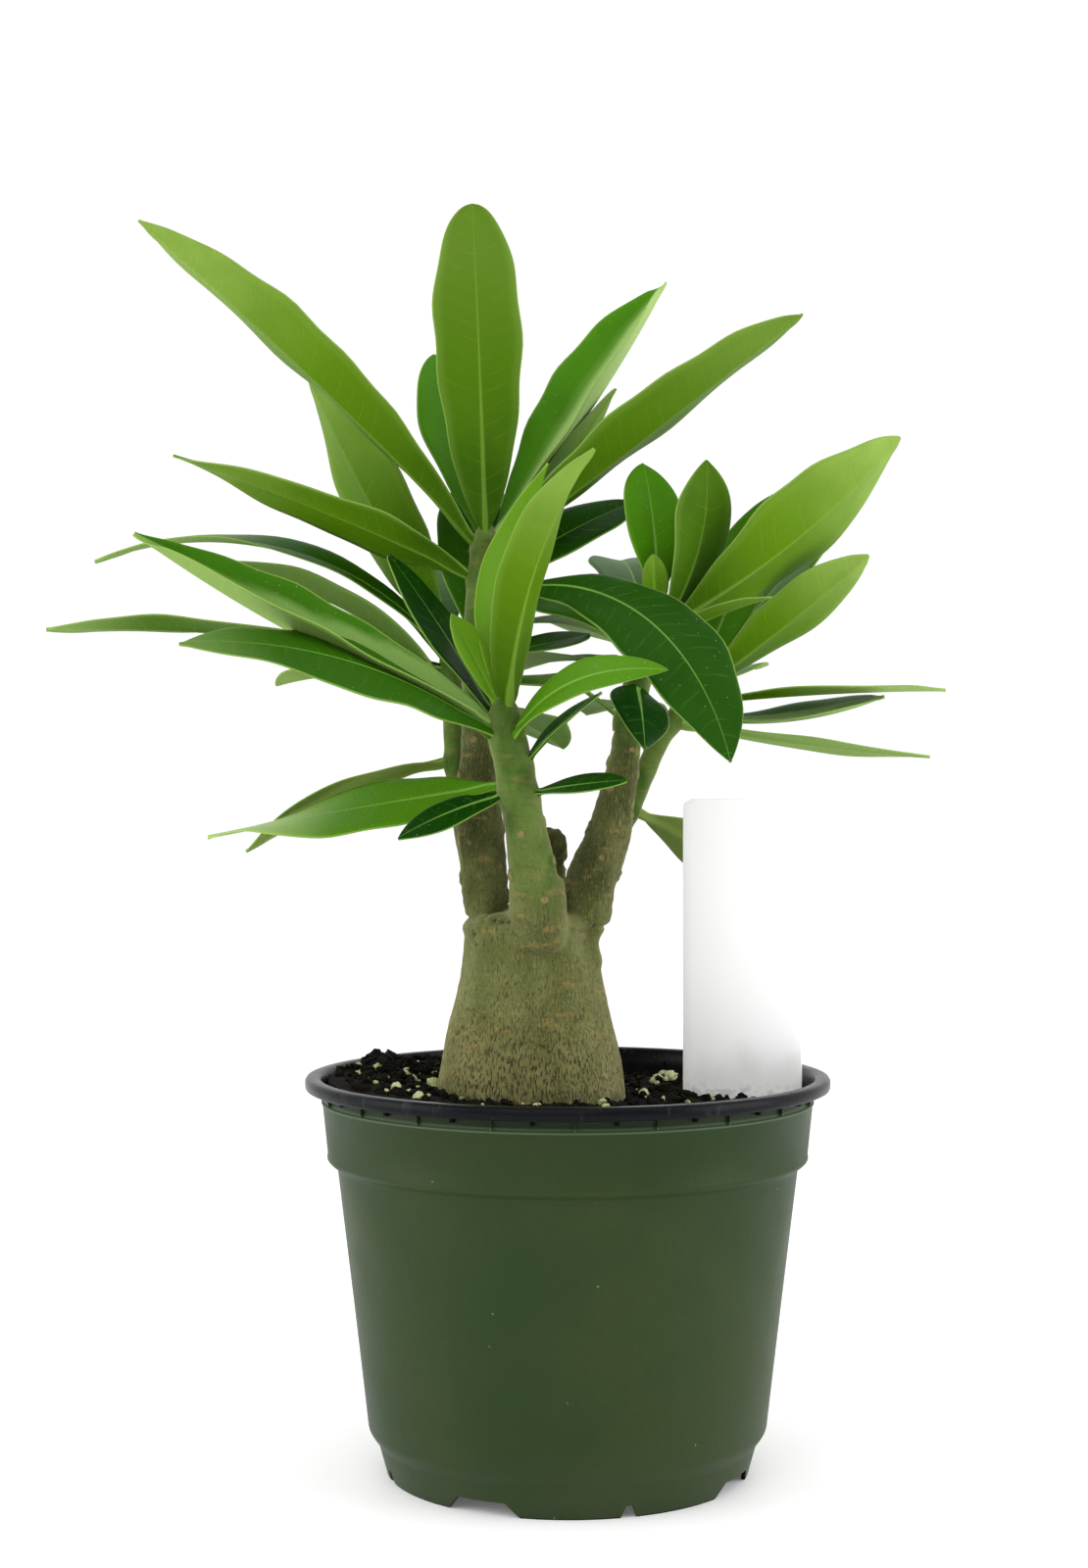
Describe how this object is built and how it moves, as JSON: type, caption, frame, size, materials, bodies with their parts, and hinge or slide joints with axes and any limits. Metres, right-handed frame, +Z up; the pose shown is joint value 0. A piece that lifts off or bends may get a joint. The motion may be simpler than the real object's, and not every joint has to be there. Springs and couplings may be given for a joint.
{
  "type": "potted desert rose",
  "caption": "Young desert rose with a swollen grey-green trunk and long glossy leaves, growing in a green plastic nursery pot with a blank white plant label.",
  "frame": {"origin": "centre of the pot's underside, on the surface that the pot stands on", "axes": "+Z up along the pot's axis, +X to the viewer's right with the label on that side, +Y away from the viewer"},
  "size_m": [0.2887, 0.2022, 0.3948],
  "materials": {
    "pot_plastic": "satin",
    "potting_mix": "matte",
    "label_plastic": "satin",
    "bark": "matte",
    "leaf": "glossy"
  },
  "bodies": {
    "root": {"pot": "pot_plastic", "potting_mix": "potting_mix", "plant_label": "label_plastic", "caudex": "bark", "leafy_stem_tall": "leaf", "leafy_stem_left": "leaf", "leafy_stem_front": "leaf", "leafy_stem_right": "leaf", "leafy_stem_far_right": "leaf"}
  },
  "joints": []
}
